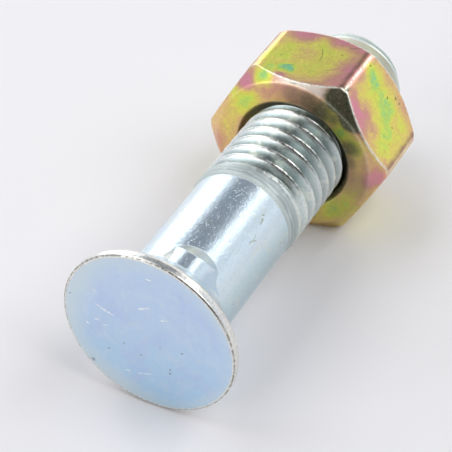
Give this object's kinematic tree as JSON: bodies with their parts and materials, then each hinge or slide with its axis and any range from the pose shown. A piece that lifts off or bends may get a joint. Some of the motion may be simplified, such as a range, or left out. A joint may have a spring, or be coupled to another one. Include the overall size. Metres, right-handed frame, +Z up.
{
  "type": "plow bolt",
  "caption": "Countersunk flat-head plow bolt with a nib under the head, a plain shank and a rolled thread that carries a bevelled hexagon nut.",
  "frame": {"origin": "on the surface that the bolt lies on, under the middle of its length", "axes": "+X along the bolt from head to tail, +Z up, out of the surface"},
  "size_m": [0.05, 0.0214, 0.019],
  "materials": {
    "blue_zinc": "pale blue zinc plating",
    "yellow_zinc": "iridescent yellow zinc plating"
  },
  "bodies": {
    "bolt": {"plow_bolt": "blue_zinc"},
    "nut": {"hex_nut": "yellow_zinc"}
  },
  "joints": [
    {"name": "nut_travel", "type": "slide", "parent": "bolt", "child": "nut", "axis": [1, 0, 0], "range_m": [-0.00875, 0.014]}
  ]
}
